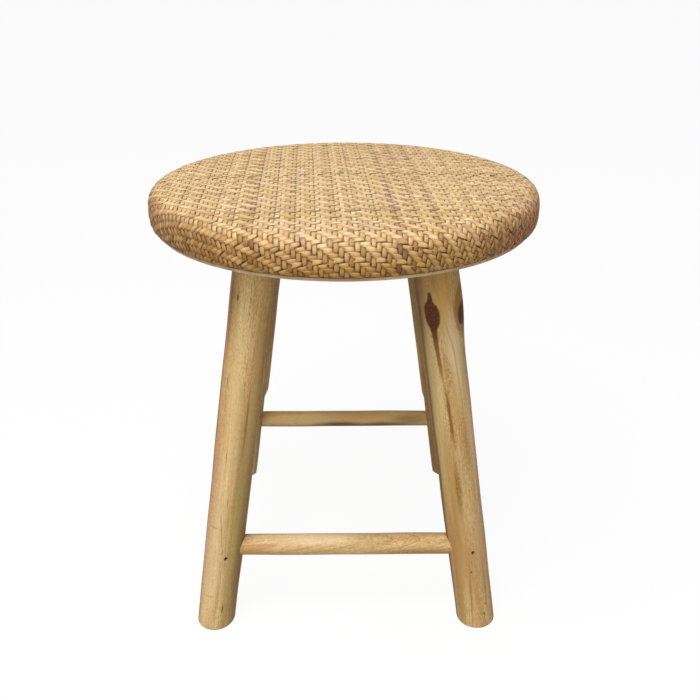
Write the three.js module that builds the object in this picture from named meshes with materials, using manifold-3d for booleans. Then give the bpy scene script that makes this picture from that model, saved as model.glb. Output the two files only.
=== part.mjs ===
// A round four-legged stool: splayed turned legs, four stretchers, and a padded seat under a
// woven rattan mat. Millimetres, +Z up, the front towards -Y, and the origin on the floor under
// the middle of the seat. The seat board, its pad, the mat and the legs are separate pieces, and
// every joint is cut in the wood with room for glue. The weave itself isn't modelled here: the
// mat is one closed skin with its edge folded under the seat board.
import * as THREE from 'three';
import { mergeVertices } from 'three/addons/utils/BufferGeometryUtils.js';
import Module from 'manifold-3d';

const wasm = await Module();
wasm.setup();

// The whole stool
const stoolHeight = 450;
const seatDiameter = 387.2;
const seatThickness = 43.7;
const clearance = 0.3;
const overrun = 6;

// The seat's outline: a flat crown with a round shoulder, widest low down, tucked in below
const widestAboveUnderside = 16.2;
const tuckInset = 7.1;
const crownSidePower = 14.6;
const crownTopPower = 2.32;
const tuckPower = 3.3;

// The seat's layers, from below
const closingBoardThickness = 2.8;
const closingBoardInset = 6.6;
const closingBoardEdgeRound = 0.5;
const matThickness = 2;
const matHemWidth = 36;
const seatBoardThickness = 24;

// Legs: each stands on a diagonal of the seat, this far in from its edge, and its foot is out
// by the splay both sideways and lengthways
const legInset = 78.8;
const legSplay = 59.3;
const legRadiusAtSeat = 20.8;
const legRadiusAtFloor = 19.8;
const footRound = 2.4;
const footSteps = 3;
const paredDepthLeft = 3.4;
const paredDepthRight = 1.8;
const paredHeightLeft = 133;
const paredHeightRight = 128;
const paredRun = 7;

// The legs' tenons in the seat board, each spread by a wedge in a saw cut
const legTenonRadius = 14;
const legTenonDepth = 18;
const legTenonBevel = 1.2;
const wedgeLength = 15;
const wedgeThickEnd = 3.4;
const wedgeThinEnd = 1.4;

// Stretchers: the side ones sit higher, so that the mortises miss each other in the leg
const frontStretcherHeight = 88.7;
const rearStretcherHeight = 90;
const sideStretcherHeight = 123;
const frontStretcherRadius = 10.9;
const rearStretcherRadius = 10.2;
const sideStretcherRadius = 10.5;
const stretcherTenonRadius = 7;
const stretcherTenonReach = 8.5;
const stretcherTenonBevel = 1;

// A wire pin through each stretcher tenon, driven in from the leg's outer face
const pinRadius = 1.5;
const pinLength = 30;
const pinSink = 0.8;
const pinAside = 4;
const pinHigh = 3.3;
const pinLow = 2.2;

// Tacks that hold the mat's hem up to the seat board
const tackCount = 12;
const tackCircleInset = 33.6;
const tackHeadRadius = 3;
const tackHeadThickness = 0.5;
const tackShankRadius = 0.8;
const tackLength = 10;
const tackPointLength = 2.5;

// Countersunk screws that hold the closing board
const screwCount = 8;
const screwCircleInset = 21.6;
const screwHeadRadius = 3.4;
const screwHeadHeight = 2;
const screwShankRadius = 1.7;
const screwLength = 18;
const screwPointLength = 3;

// Facets round each kind of piece
const seatSides = 48;
const legSides = 24;
const stretcherSides = 20;
const smallSides = 8;
const crownSteps = 8;
const boardEdgeSteps = 3;
const tuckSteps = 4;

// Places that follow from those sizes
const seatRadius = seatDiameter / 2;
const undersideZ = stoolHeight - seatThickness;
const widestZ = undersideZ + widestAboveUnderside;
const closingBoardTopZ = undersideZ + closingBoardThickness;
const tackRoom = tackHeadThickness + 2 * clearance;
const hemZ = closingBoardTopZ + tackRoom;
const hemTopZ = hemZ + matThickness;
const seatBoardZ = hemTopZ + clearance;
const seatBoardTopZ = seatBoardZ + seatBoardThickness;
const padZ = seatBoardTopZ + clearance;
const tuckRadius = seatRadius - tuckInset;
const fillInset = matThickness + clearance;
const legShoulderZ = undersideZ - clearance;
const legSpreadAtSeat = (seatRadius - legInset) * Math.SQRT1_2;
const legSpreadAtFloor = legSpreadAtSeat + legSplay;
const legTenonTopZ = seatBoardZ + legTenonDepth;
const tackCircleRadius = seatRadius - tackCircleInset;
const screwCircleRadius = seatRadius - screwCircleInset;

// Helpers between the scene's geometry and solids that can be cut and joined

function solidFrom(geometry) {
  const plain = geometry.clone();
  plain.deleteAttribute('normal');
  plain.deleteAttribute('uv');
  const merged = mergeVertices(plain);
  return new wasm.Manifold(new wasm.Mesh({
    numProp: 3,
    vertProperties: new Float32Array(merged.attributes.position.array),
    triVerts: new Uint32Array(merged.index.array),
  }));
}

function geometryFrom(solid) {
  const mesh = solid.getMesh();
  const shared = new THREE.BufferGeometry();
  shared.setAttribute('position', new THREE.BufferAttribute(new Float32Array(mesh.vertProperties), 3));
  shared.setIndex(new THREE.BufferAttribute(new Uint32Array(mesh.triVerts), 1));
  return shared;
}

// Turns a section of [radius, height] points, listed from the bottom up, about the Z axis
function turned(section, sides) {
  const points = section.map(([radius, height]) => new THREE.Vector2(radius, height));
  return new THREE.LatheGeometry(points, sides).rotateX(Math.PI / 2);
}

// A round bar between two points
function bar(radius, from, to, sides) {
  const along = new THREE.Vector3().subVectors(to, from);
  const geometry = new THREE.CylinderGeometry(radius, radius, along.length(), sides);
  const up = new THREE.Vector3(0, 1, 0);
  geometry.applyQuaternion(new THREE.Quaternion().setFromUnitVectors(up, along.clone().normalize()));
  const middle = new THREE.Vector3().addVectors(from, to).multiplyScalar(0.5);
  return geometry.translate(middle.x, middle.y, middle.z);
}

function cutAll(solid, cutters) {
  return cutters.reduce((rest, cutter) => rest.subtract(cutter), solid);
}

// The seat's outline, moved in by an inset. The crown runs up from the widest line to the middle.

function crownPoint(angle, inset) {
  const rise = stoolHeight - widestZ - inset;
  return [
    (seatRadius - inset) * Math.sin(angle) ** (2 / crownSidePower),
    widestZ + rise * Math.cos(angle) ** (2 / crownTopPower),
  ];
}

function crownAngleAt(height, inset) {
  const rise = stoolHeight - widestZ - inset;
  return Math.acos(((height - widestZ) / rise) ** (crownTopPower / 2));
}

function crown(fromAngle, toAngle, steps, inset) {
  return Array.from({ length: steps + 1 }, (_, step) =>
    crownPoint(fromAngle + (toAngle - fromAngle) * step / steps, inset));
}

// The tuck runs from the bottom, where the mat folds under, up to just below the widest line
function tuck(inset) {
  const reach = seatRadius - tuckRadius - inset;
  const drop = widestZ - hemZ - inset;
  return Array.from({ length: tuckSteps }, (_, step) => {
    const angle = Math.PI / 2 * (1 - step / tuckSteps);
    const inward = step === 0 ? 0 : Math.cos(angle) ** (2 / tuckPower);
    return [tuckRadius + reach * inward, widestZ - drop * Math.sin(angle) ** (2 / tuckPower)];
  });
}

function onCircle(count, radius, startShare) {
  return Array.from({ length: count }, (_, index) => {
    const angle = 2 * Math.PI * (index + startShare) / count;
    return new THREE.Vector3(radius * Math.cos(angle), radius * Math.sin(angle), 0);
  });
}

// Legs: an upright turning, stretched along its lean and then sheared, which is what a round leg
// is when its foot and its shoulder are both cut level

const leanSlope = legSplay / undersideZ;
const leanStretch = Math.hypot(1, Math.SQRT2 * leanSlope);
const corners = [
  { name: 'front_left', x: -1, y: -1 },
  { name: 'front_right', x: 1, y: -1 },
  { name: 'rear_left', x: -1, y: 1 },
  { name: 'rear_right', x: 1, y: 1 },
];

function legCentre(height) {
  return legSpreadAtFloor - leanSlope * height;
}

function leaned(geometry, corner) {
  const towards = Math.atan2(corner.y, corner.x);
  const lean = new THREE.Matrix4().makeTranslation(
    corner.x * legSpreadAtFloor, corner.y * legSpreadAtFloor, 0);
  lean.multiply(new THREE.Matrix4().makeShear(
    0, 0, 0, 0, -corner.x * leanSlope, -corner.y * leanSlope));
  lean.multiply(new THREE.Matrix4().makeRotationZ(towards));
  lean.multiply(new THREE.Matrix4().makeScale(leanStretch, 1, 1));
  lean.multiply(new THREE.Matrix4().makeRotationZ(-towards));
  return geometry.applyMatrix4(lean);
}

// The plain turned leg up to its shoulder, larger by extra all round
function legShaft(corner, extra) {
  const soleRadius = legRadiusAtFloor - footRound;
  const footArc = Array.from({ length: footSteps + 1 }, (_, step) => {
    const angle = Math.PI / 2 * step / footSteps;
    return [soleRadius + extra + footRound * Math.sin(angle), footRound * (1 - Math.cos(angle))];
  });
  const section = [
    [0, 0], ...footArc, [legRadiusAtSeat + extra, legShoulderZ], [0, legShoulderZ],
  ];
  const shaft = solidFrom(leaned(turned(section, legSides), corner));
  return corner.y > 0 ? shaft.subtract(paring(corner, extra)) : shaft;
}

// The rear legs' inner sides are pared flat by hand, from the floor to above the stretcher
function paring(corner, extra) {
  const depth = corner.x < 0 ? paredDepthLeft : paredDepthRight;
  const height = corner.x < 0 ? paredHeightLeft : paredHeightRight;
  const face = legRadiusAtFloor - depth + extra;
  const outside = legRadiusAtSeat + overrun;
  const outline = new THREE.Shape([
    new THREE.Vector2(face, -overrun),
    new THREE.Vector2(outside, -overrun),
    new THREE.Vector2(outside, height + paredRun * (outside - face) / depth),
    new THREE.Vector2(face, height),
  ]);
  const slab = new THREE.ExtrudeGeometry(outline, { depth: 2 * outside, bevelEnabled: false });
  slab.translate(0, 0, -outside).rotateX(Math.PI / 2);
  if (corner.x > 0) slab.rotateZ(Math.PI);
  return solidFrom(leaned(slab, corner));
}

// A tenon, or with extra room its mortise, from below the shoulder up to a height
function legTenon(corner, extra, topZ) {
  const section = [
    [0, legShoulderZ - overrun],
    [legTenonRadius + extra, legShoulderZ - overrun],
    [legTenonRadius + extra, topZ - legTenonBevel],
    [legTenonRadius + extra - legTenonBevel, topZ],
    [0, topZ],
  ];
  return solidFrom(leaned(turned(section, legSides), corner));
}

// The wedge stands in the saw cut, its thick end up, across the tenon's whole width
function wedgeSolid(corner, extra, topZ) {
  const half = (thickness) => thickness / 2 + extra;
  const bottomZ = legTenonTopZ - clearance - wedgeLength - extra;
  const outline = new THREE.Shape([
    new THREE.Vector2(-half(wedgeThinEnd), bottomZ),
    new THREE.Vector2(half(wedgeThinEnd), bottomZ),
    new THREE.Vector2(half(wedgeThickEnd), topZ),
    new THREE.Vector2(-half(wedgeThickEnd), topZ),
  ]);
  const width = 2 * (legTenonRadius + overrun);
  const slab = new THREE.ExtrudeGeometry(outline, { depth: width, bevelEnabled: false });
  slab.translate(0, 0, -width / 2).rotateX(Math.PI / 2);
  slab.rotateZ(Math.atan2(corner.y, corner.x));
  return solidFrom(leaned(slab, corner));
}

// Stretchers: each runs between two legs at one height. Its end is coped to the leg's round, and
// a thinner tenon goes on past the leg's middle.

const stretchers = [
  { name: 'front', along: 'x', side: -1, height: frontStretcherHeight, radius: frontStretcherRadius },
  { name: 'rear', along: 'x', side: 1, height: rearStretcherHeight, radius: rearStretcherRadius },
  { name: 'left', along: 'y', side: -1, height: sideStretcherHeight, radius: sideStretcherRadius },
  { name: 'right', along: 'y', side: 1, height: sideStretcherHeight, radius: sideStretcherRadius },
];

function stretcherPoint(stretcher, lengthways) {
  const across = stretcher.side * legCentre(stretcher.height);
  return stretcher.along === 'x'
    ? new THREE.Vector3(lengthways, across, stretcher.height)
    : new THREE.Vector3(across, lengthways, stretcher.height);
}

function stretcherCorners(stretcher) {
  const across = stretcher.along === 'x' ? 'y' : 'x';
  return corners.filter((corner) => corner[across] === stretcher.side);
}

// The bevelled tenon, or with extra room its mortise: one long thin turning
function stretcherTenon(stretcher, extra) {
  const half = legCentre(stretcher.height) + stretcherTenonReach + extra;
  const radius = stretcherTenonRadius + extra;
  const turning = turned([
    [0, -half], [radius - stretcherTenonBevel, -half], [radius, -half + stretcherTenonBevel],
    [radius, half - stretcherTenonBevel], [radius - stretcherTenonBevel, half], [0, half],
  ], stretcherSides);
  if (stretcher.along === 'x') turning.rotateY(Math.PI / 2);
  else turning.rotateX(Math.PI / 2);
  return solidFrom(turning.translate(...stretcherPoint(stretcher, 0)));
}

// Each pin crosses one tenon square to the stretcher. The pins were driven by eye: the left and
// front ends sit a little low, the right and rear ends a little high.
function pinEnds(stretcher, end, extra) {
  const height = stretcher.height + (end > 0 ? pinHigh : -pinLow);
  const lengthways = end * legCentre(stretcher.height) + pinAside;
  const legAt = legCentre(height);
  const legRadius = legRadiusAtFloor + (legRadiusAtSeat - legRadiusAtFloor) * height / undersideZ;
  const sag = legRadius - Math.sqrt(legRadius ** 2 - pinAside ** 2);
  const outer = legAt + legRadius - sag - pinSink;
  const at = (across) => (stretcher.along === 'x'
    ? new THREE.Vector3(lengthways, stretcher.side * across, height)
    : new THREE.Vector3(stretcher.side * across, lengthways, height));
  return { outer: at(outer + (extra > 0 ? pinSink + overrun : 0)), inner: at(outer - pinLength - extra) };
}

function pinSolid(stretcher, end, extra) {
  const { outer, inner } = pinEnds(stretcher, end, extra);
  return solidFrom(bar(pinRadius + extra, inner, outer, smallSides));
}

// Materials

function material(colour, roughness, metalness = 0) {
  return new THREE.MeshStandardMaterial({ color: colour, roughness, metalness });
}

const materials = {
  legWood: material('#c9a774', 0.6),
  stretcherWood: material('#c4a06c', 0.6),
  wedgeWood: material('#8a6238', 0.65),
  rattan: material('#cfae7a', 0.55),
  plywood: material('#d8b68c', 0.7),
  foam: material('#e9dfb8', 0.95),
  steel: material('#8d8a84', 0.4, 1),
};

const stool = new THREE.Group();

function place(name, geometry, finish) {
  const mesh = new THREE.Mesh(geometry, finish);
  mesh.name = name;
  stool.add(mesh);
  return mesh;
}

// Tacks and screws are turned point up, with the head at their origin

function nail(headSection, shankRadius, length, pointLength, extra) {
  return turned([
    [0, 0], ...headSection,
    [shankRadius + extra, length - pointLength], [extra, length + extra], [0, length + extra],
  ], smallSides);
}

function tackGeometry(extra) {
  const shank = tackShankRadius + extra;
  const head = tackHeadRadius + extra;
  return nail([[head, 0], [head, tackHeadThickness], [shank, tackHeadThickness]],
    tackShankRadius, tackLength, tackPointLength, extra);
}

function screwGeometry(extra) {
  const shank = screwShankRadius + extra;
  const head = screwHeadRadius + extra;
  return nail([[head, 0], [shank, screwHeadHeight]],
    screwShankRadius, screwLength, screwPointLength, extra);
}

const tackHeadZ = closingBoardTopZ + clearance;
const tackPlaces = onCircle(tackCount, tackCircleRadius, 0.5).map((spot) => spot.setZ(tackHeadZ));
const screwPlaces = onCircle(screwCount, screwCircleRadius, 0.5).map((spot) => spot.setZ(undersideZ));
const tackHoles = tackPlaces.map((spot) => solidFrom(tackGeometry(clearance).translate(...spot)));
const screwHoles = screwPlaces.map((spot) => solidFrom(screwGeometry(clearance).translate(...spot)));

function addSmallPieces() {
  const numbered = (index) => String(index + 1).padStart(2, '0');
  tackPlaces.forEach((spot, index) => {
    place(`hem_tack_${numbered(index)}`, closedTip(tackGeometry(0)), materials.steel)
      .position.copy(spot);
  });
  screwPlaces.forEach((spot, index) => {
    place(`board_screw_${numbered(index)}`, closedTip(screwGeometry(0)), materials.steel)
      .position.copy(spot);
  });
}

// A sharp tip brings its last ring to one point, and merging takes the flat triangles away
function closedTip(geometry) {
  return geometryFrom(solidFrom(geometry));
}

function addLegs() {
  for (const corner of corners) {
    const mortises = stretchers
      .filter((stretcher) => stretcherCorners(stretcher).includes(corner))
      .flatMap((stretcher) => {
        const end = stretcher.along === 'x' ? corner.x : corner.y;
        return [stretcherTenon(stretcher, clearance), pinSolid(stretcher, end, clearance)];
      });
    const tenonTopZ = legTenonTopZ - clearance;
    const blank = legShaft(corner, 0).add(legTenon(corner, 0, tenonTopZ));
    const sawCut = wedgeSolid(corner, clearance, legTenonTopZ + overrun);
    place(`leg_${corner.name}`, geometryFrom(cutAll(blank, [...mortises, sawCut])), materials.legWood);
    const wedge = wedgeSolid(corner, 0, tenonTopZ).intersect(legTenon(corner, 0, tenonTopZ));
    place(`leg_wedge_${corner.name}`, geometryFrom(wedge), materials.wedgeWood);
  }
}

function addStretchers() {
  for (const stretcher of stretchers) {
    const reach = legCentre(stretcher.height);
    const rod = solidFrom(bar(
      stretcher.radius, stretcherPoint(stretcher, -reach), stretcherPoint(stretcher, reach),
      stretcherSides));
    const legs = stretcherCorners(stretcher).map((corner) => legShaft(corner, clearance));
    const ends = [-1, 1];
    const pinHoles = ends.map((end) => pinSolid(stretcher, end, clearance));
    const whole = cutAll(rod, legs).add(stretcherTenon(stretcher, 0));
    place(`stretcher_${stretcher.name}`, geometryFrom(cutAll(whole, pinHoles)),
      materials.stretcherWood);
    ends.forEach((end, index) => {
      place(`stretcher_pin_${stretcher.name}_${index + 1}`,
        geometryFrom(pinSolid(stretcher, end, 0)), materials.steel);
    });
  }
}

function addSeat() {
  const mortises = corners.map((corner) => legTenon(corner, clearance, legTenonTopZ));
  const nailHoles = [...tackHoles, ...screwHoles];

  const round = closingBoardEdgeRound;
  const boardRadius = seatRadius - closingBoardInset;
  const closing = turned([
    [0, undersideZ], [boardRadius - round, undersideZ], [boardRadius, undersideZ + round],
    [boardRadius, closingBoardTopZ - round], [boardRadius - round, closingBoardTopZ],
    [0, closingBoardTopZ],
  ], seatSides);
  place('closing_board', geometryFrom(cutAll(solidFrom(closing), [...mortises, ...screwHoles])),
    materials.plywood);

  const topAngle = crownAngleAt(seatBoardTopZ, fillInset);
  const boardEdge = crown(Math.PI / 2, topAngle, boardEdgeSteps, fillInset);
  const board = turned(
    [[0, seatBoardZ], ...tuck(fillInset), ...boardEdge, [0, seatBoardTopZ]], seatSides);
  place('seat_board', geometryFrom(cutAll(solidFrom(board), [...mortises, ...nailHoles])),
    materials.plywood);

  const padEdge = crown(crownAngleAt(padZ, fillInset), 0, crownSteps, fillInset);
  const pad = turned([[0, padZ], ...padEdge], seatSides);
  place('seat_pad', geometryFrom(solidFrom(pad)), materials.foam);

  const hemEdge = tuckRadius - matHemWidth;
  const outside = [...tuck(0), ...crown(Math.PI / 2, 0, crownSteps, 0)];
  const inside = [...tuck(matThickness), ...crown(Math.PI / 2, 0, crownSteps, matThickness)];
  const mat = turned(
    [...inside.reverse(), [hemEdge, hemTopZ], [hemEdge, hemZ], ...outside], seatSides);
  place('woven_cover', geometryFrom(cutAll(solidFrom(mat), nailHoles)), materials.rattan);
}

addSeat();
addLegs();
addStretchers();
addSmallPieces();

export default stool;
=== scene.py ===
import math

import bpy
import numpy as np
from mathutils import Matrix, Vector


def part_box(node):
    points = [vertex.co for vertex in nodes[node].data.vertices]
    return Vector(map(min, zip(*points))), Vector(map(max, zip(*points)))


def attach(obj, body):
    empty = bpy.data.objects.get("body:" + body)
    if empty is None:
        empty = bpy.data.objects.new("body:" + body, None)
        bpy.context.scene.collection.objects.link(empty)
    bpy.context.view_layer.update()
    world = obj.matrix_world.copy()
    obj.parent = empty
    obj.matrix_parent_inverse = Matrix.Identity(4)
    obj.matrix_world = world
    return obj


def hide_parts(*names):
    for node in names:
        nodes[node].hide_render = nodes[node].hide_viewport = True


# A round stool: four leaning turned legs, four stretchers, a padded seat under a plaited rattan mat.
# Lengths are in metres.
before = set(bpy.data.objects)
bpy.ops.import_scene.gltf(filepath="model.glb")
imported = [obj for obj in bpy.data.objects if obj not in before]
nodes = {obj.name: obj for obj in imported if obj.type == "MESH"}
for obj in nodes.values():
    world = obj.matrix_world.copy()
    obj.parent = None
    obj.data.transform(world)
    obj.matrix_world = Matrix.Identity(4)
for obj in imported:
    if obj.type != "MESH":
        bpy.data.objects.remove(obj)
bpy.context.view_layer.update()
print("frame loaded,", len(nodes), "nodes")


camera = {
    "place": (-0.00064, -0.79638, 0.64089),
    "lookDown": math.radians(25.924),
    "turn": math.radians(-0.466),
    "roll": math.radians(-0.063),
    "lens": 41.116,
}
studio = {
    "floorSize": 60.0,
    "floorWhite": 0.94,
    "floorBounce": 0.42,
    "floorGlowShare": 0.94,
    "worldStrength": 0.32,
    "keyPlace": (-0.5, -0.75, 2.15),
    "keySize": 1.3,
    "keyPower": 42,
    "fillPlace": (-0.3, -2.0, 0.9),
    "fillSize": 1.4,
    "fillPower": 15,
    "aim": (0.0, 0.0, 0.3),
}


# Colours and nodes

def linearColour(sRgb):
    channels = [int(sRgb[start:start + 2], 16) / 255 for start in (1, 3, 5)]
    linear = [c / 12.92 if c <= 0.04045 else ((c + 0.055) / 1.055) ** 2.4 for c in channels]
    return (*linear, 1.0)


def newNodes(owner):
    owner.use_nodes = True
    owner.node_tree.nodes.clear()


def newMaterial(name):
    material = bpy.data.materials.new(name)
    newNodes(material)
    return material


def addNode(owner, kind, inputs=None, stops=None, **settings):
    # an input is a value, another node's output, or a node, whose first output is then linked
    node = owner.node_tree.nodes.new("ShaderNode" + kind)
    for name, value in settings.items():
        setattr(node, name, value)
    for place, (position, colour) in enumerate(stops or []):
        elements = node.color_ramp.elements
        element = elements[place] if place < len(elements) else elements.new(position)
        element.position = position
        element.color = linearColour(colour)
    for name, value in (inputs or {}).items():
        value = value.outputs[0] if isinstance(value, bpy.types.Node) else value
        if isinstance(value, bpy.types.NodeSocket):
            owner.node_tree.links.new(value, node.inputs[name])
        else:
            node.inputs[name].default_value = value
    return node


# Tools for modelling

def chooseOnly(piece):
    bpy.ops.object.select_all(action="DESELECT")
    piece.select_set(True)
    bpy.context.view_layer.objects.active = piece


def copyOf(piece):
    chooseOnly(piece)
    bpy.ops.object.duplicate()
    return bpy.context.object


def startEdit(piece, selectMode="VERT"):
    chooseOnly(piece)
    bpy.context.tool_settings.mesh_select_mode = [
        selectMode == kind for kind in ("VERT", "EDGE", "FACE")]
    bpy.ops.object.mode_set(mode="EDIT")


def endEdit():
    bpy.ops.object.mode_set(mode="OBJECT")


def pick(piece, kind, chosen):
    # kind is vertices, edges or polygons, and chosen says of each one whether it is picked
    mesh = piece.data
    for parts in (mesh.vertices, mesh.edges, mesh.polygons):
        parts.foreach_set("select", np.zeros(len(parts), bool))
    getattr(mesh, kind).foreach_set("select", np.asarray(chosen, bool))


def edgesAt(mesh, height):
    # edges that lie level at a height
    return [all(abs(mesh.vertices[end].co.z - height) < 1e-5 for end in edge.vertices)
            for edge in mesh.edges]


def bisectAt(piece, places, axis):
    startEdit(piece)
    normal = Vector((axis == "x", axis == "y", axis == "z"))
    for place in places:
        bpy.ops.mesh.select_all(action="SELECT")
        bpy.ops.mesh.bisect(plane_co=normal * place, plane_no=normal)
    endEdit()


def points(mesh):
    flat = np.empty(len(mesh.vertices) * 3, np.float32)
    mesh.vertices.foreach_get("co", flat)
    return flat.reshape(-1, 3).astype(float)


def setPoints(mesh, places):
    mesh.vertices.foreach_set("co", places.astype(np.float32).ravel())
    mesh.update()


def setAttribute(mesh, name, values):
    kind = "FLOAT" if values.ndim == 1 else "FLOAT_VECTOR"
    attribute = mesh.attributes.new(name, kind, "POINT")
    attribute.data.foreach_set("value" if values.ndim == 1 else "vector",
                               values.astype(np.float32).ravel())


def addModifier(piece, kind, **settings):
    chooseOnly(piece)
    modifier = piece.modifiers.new(kind.lower(), kind)
    for name, value in settings.items():
        setattr(modifier, name, value)
    bpy.ops.object.modifier_apply(modifier=modifier.name)


def cutWith(piece, cutter, operation="DIFFERENCE"):
    addModifier(piece, "BOOLEAN", operation=operation, object=cutter, solver="EXACT")
    bpy.data.objects.remove(cutter)


def smooth(piece, degrees):
    chooseOnly(piece)
    bpy.ops.object.shade_smooth_by_angle(angle=math.radians(degrees))


def finishPiece(piece, name, replaced, materialUsed):
    piece.name = name
    piece.data.name = name
    piece.data.materials.clear()
    piece.data.materials.append(materialUsed)
    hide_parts(replaced)
    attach(piece, "root")


# Camera, floor and light

def makeCamera():
    data = bpy.data.cameras.new("camera")
    data.lens = camera["lens"]
    data.sensor_width = 36
    data.clip_end = 200
    shot = bpy.data.objects.new("camera", data)
    bpy.context.scene.collection.objects.link(shot)
    turned = Matrix.Rotation(camera["turn"], 4, "Z")
    turned @= Matrix.Rotation(math.pi / 2 - camera["lookDown"], 4, "X")
    turned @= Matrix.Rotation(camera["roll"], 4, "Z")
    shot.matrix_world = Matrix.Translation(camera["place"]) @ turned
    bpy.context.scene.camera = shot


def seenByCamera(owner):
    # 1 for what is seen straight, in a gloss or through glass, and 0 for what only lights the object
    ray = addNode(owner, "LightPath")
    seen = ray.outputs["Is Camera Ray"]
    for kind in ("Is Glossy Ray", "Is Transmission Ray"):
        seen = addNode(owner, "Math", {0: seen, 1: ray.outputs[kind]}, operation="MAXIMUM")
    return seen


def makeFloor():
    bpy.ops.object.select_all(action="DESELECT")
    bpy.ops.mesh.primitive_plane_add(size=studio["floorSize"])
    floor = bpy.context.object
    floor.name = "floor"
    paper = newMaterial("white studio paper")
    bounced, white = [(studio[name],) * 3 + (1,) for name in ("floorBounce", "floorWhite")]
    seen = seenByCamera(paper)
    colour = addNode(paper, "Mix", {0: seen, 6: bounced, 7: white}, data_type="RGBA")
    matte = addNode(paper, "BsdfDiffuse", {"Color": colour.outputs[2]})
    glow = addNode(paper, "Emission", {"Color": (1, 1, 1, 1), "Strength": 1.0})
    share = addNode(paper, "Math", {0: seen, 1: studio["floorGlowShare"]}, operation="MULTIPLY")
    mixed = addNode(paper, "MixShader", {0: share, 1: matte, 2: glow})
    addNode(paper, "OutputMaterial", {"Surface": mixed})
    floor.data.materials.append(paper)


def makeLights():
    aim = Vector(studio["aim"])
    for name in ("key", "fill"):
        data = bpy.data.lights.new(name, "AREA")
        data.size = studio[name + "Size"]
        data.energy = studio[name + "Power"]
        lamp = bpy.data.objects.new(name, data)
        bpy.context.scene.collection.objects.link(lamp)
        lamp.location = studio[name + "Place"]
        lamp.rotation_euler = (aim - lamp.location).to_track_quat("-Z", "Y").to_euler()


def makeWorld():
    world = bpy.data.worlds.new("white studio")
    bpy.context.scene.world = world
    newNodes(world)
    soft, white = [addNode(world, "Background", {"Color": (1, 1, 1, 1), "Strength": strength})
                   for strength in (studio["worldStrength"], 1.0)]
    mixed = addNode(world, "MixShader", {0: seenByCamera(world), 1: soft, 2: white})
    addNode(world, "OutputWorld", {"Surface": mixed})


bpy.context.scene.view_settings.view_transform = "Standard"
makeCamera()
makeFloor()
makeLights()
makeWorld()
print("camera, floor and light made")


# Rattan: cut from the skin and the core of the cane, plaited damp, dry and unlacquered. Each strip
# keeps one colour, from pale straw to brown, with fine lengthwise fibres and a soft satin skin.

rattanShades = {
    "straw": ("#7a5732", "#a98454", "#d2af7c", "#e4c799", "#efdab2"),
    "olive": ("#715a31", "#9d804a", "#c9a86c", "#dec48b", "#ecd9aa"),
    "pink": ("#6f4f3e", "#997660", "#c39c7e", "#dcb999", "#ecd2b5"),
}


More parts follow.
